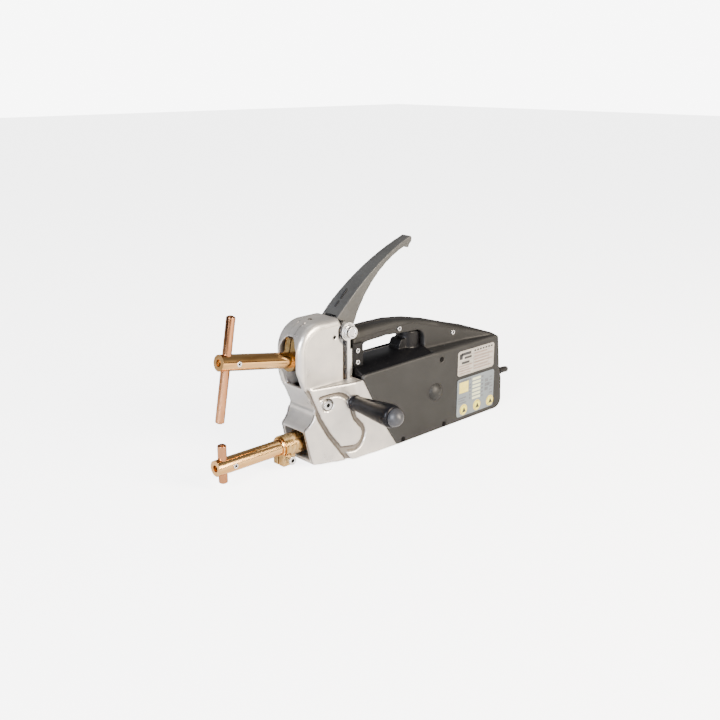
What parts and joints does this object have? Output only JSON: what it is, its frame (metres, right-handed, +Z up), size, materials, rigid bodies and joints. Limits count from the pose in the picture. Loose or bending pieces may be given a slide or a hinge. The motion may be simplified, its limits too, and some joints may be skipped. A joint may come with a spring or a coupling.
{
  "type": "spot welder",
  "caption": "Hand-held spot welder: cast head with swinging upper arm and squeeze lever, fixed lower arm, loop-handled plastic casing with timer panel, side handle and mains lead.",
  "frame": {"origin": "centre of the flat base of the casing", "axes": "+X to the rear (mains lead), arms point to -X; +Z up; the side handle and panel are on -Y"},
  "size_m": [0.5295, 0.3116, 0.2465],
  "materials": {
    "cast_aluminium": "sand-blasted die casting",
    "bracket_aluminium": "machined casting",
    "casing_plastic": "fine spark-eroded texture",
    "liner_plastic": "smooth moulded",
    "black_steel": "black painted",
    "screw_steel": "bright zinc",
    "label_film": "printed film",
    "panel_film": "printed film",
    "display_glass": "clear window",
    "button_yellow": "moulded",
    "board": "lacquered board",
    "heat_sink": "extruded",
    "core_steel": "laminated",
    "winding": "enamelled wire",
    "copper": "drawn copper",
    "brass": "machined brass",
    "bronze": "sintered bronze",
    "insulator": "laminated phenolic",
    "spring_steel": "oiled",
    "steel": "machined",
    "lever_plastic": "fine texture",
    "grip_plastic": "polished",
    "cap_plastic": "satin",
    "cable_rubber": "matt sheath",
    "switch_plastic": "moulded",
    "plunger_plastic": "moulded"
  },
  "bodies": {
    "frame": {"front_casting": "cast_aluminium", "lever_bracket": "bracket_aluminium", "casing_right": "casing_plastic", "casing_left": "casing_plastic", "deck_liner": "liner_plastic", "handle_plates": "black_steel", "plate_screws": "screw_steel", "handle_screws": "screw_steel", "casing_screws": "black_steel", "dome_plug": "casing_plastic", "rating_label": "label_film", "control_panel": "panel_film", "display_window": "display_glass", "timer_board": "board", "thyristor_module": "heat_sink", "chassis_plate": "heat_sink", "transformer_core": "core_steel", "primary_coils": "winding", "secondary_bar": "copper", "terminal_insulator": "insulator", "flexible_strap": "copper", "lower_clamp": "brass", "lower_clamp_screw": "screw_steel", "carrier_pin": "screw_steel", "return_spring": "spring_steel", "stop_screw": "black_steel", "lever_bolt": "screw_steel", "lever_nut": "screw_steel", "trigger_switch": "switch_plastic", "side_grip": "grip_plastic", "side_grip_cap": "cap_plastic", "side_grip_stud": "screw_steel", "cord_gland": "cable_rubber", "strain_relief": "cable_rubber", "cord_tube": "cable_rubber", "cord_coil": "cable_rubber", "cord_tail": "cable_rubber", "cord_tie": "cable_rubber", "plug": "cable_rubber"},
    "lower_arm": {"lower_arm": "copper", "electrode_screws": "screw_steel"},
    "lower_electrode": {"lower_electrode": "copper"},
    "carrier": {"arm_carrier": "bracket_aluminium", "carrier_bushes": "bronze", "carrier_insulator": "insulator", "upper_clamp": "brass", "upper_clamp_screw": "screw_steel"},
    "upper_arm": {"upper_arm": "copper", "upper_arm_screw": "screw_steel"},
    "upper_electrode": {"upper_electrode": "copper"},
    "lever": {"lever_shell": "lever_plastic", "lever_core": "steel", "lever_bush": "bronze", "crank_pin": "screw_steel"},
    "link": {"link_rod": "steel", "force_spring": "spring_steel"},
    "button_left": {"button_left": "button_yellow"},
    "button_middle": {"button_middle": "button_yellow"},
    "button_right": {"button_right": "button_yellow"},
    "plunger": {"switch_plunger": "plunger_plastic"}
  },
  "joints": [
    {"name": "lever_press", "type": "hinge", "parent": "frame", "child": "lever", "pos_m": [-0.158, 0, 0.1525], "axis": [0, 1, 0], "range_deg": [0, 33], "stiffness_Nm_per_rad": 1.5, "springref_deg": -22.92},
    {"name": "carrier_swing", "type": "hinge", "parent": "frame", "child": "carrier", "pos_m": [-0.196, 0, 0.075], "axis": [0, 1, 0], "range_deg": [-10.2, 0]},
    {"name": "link_swing", "type": "hinge", "parent": "lever", "child": "link", "pos_m": [-0.158, 0, 0.1305], "axis": [0, 1, 0], "range_deg": [-40, 0]},
    {"name": "upper_arm_slide", "type": "slide", "parent": "carrier", "child": "upper_arm", "axis": [-0.9842, 0, 0.1771], "range_m": [0, 0.01]},
    {"name": "upper_electrode_slide", "type": "slide", "parent": "upper_arm", "child": "upper_electrode", "axis": [0.1771, 0, 0.9842], "range_m": [0, 0.03]},
    {"name": "lower_arm_slide", "type": "slide", "parent": "frame", "child": "lower_arm", "axis": [-1, 0, 0], "range_m": [0, 0.02]},
    {"name": "lower_electrode_slide", "type": "slide", "parent": "lower_arm", "child": "lower_electrode", "axis": [0, 0, -1], "range_m": [0, 0.006]},
    {"name": "plunger_travel", "type": "slide", "parent": "frame", "child": "plunger", "axis": [-1, 0, 0], "range_m": [0, 0.0015]},
    {"name": "button_left_press", "type": "slide", "parent": "frame", "child": "button_left", "axis": [0, 1, 0], "range_m": [0, 0.0006], "stiffness_N_per_m": 400},
    {"name": "button_middle_press", "type": "slide", "parent": "frame", "child": "button_middle", "axis": [0, 1, 0], "range_m": [0, 0.0006], "stiffness_N_per_m": 400},
    {"name": "button_right_press", "type": "slide", "parent": "frame", "child": "button_right", "axis": [0, 1, 0], "range_m": [0, 0.0006], "stiffness_N_per_m": 400}
  ],
  "couplings": [
    {"joint": "carrier_swing", "follows": "lever_press", "ratio": -0.309},
    {"joint": "link_swing", "follows": "lever_press", "ratio": -1.192},
    {"joint": "plunger_travel", "follows": "lever_press", "m_per_rad": 0.0026}
  ]
}
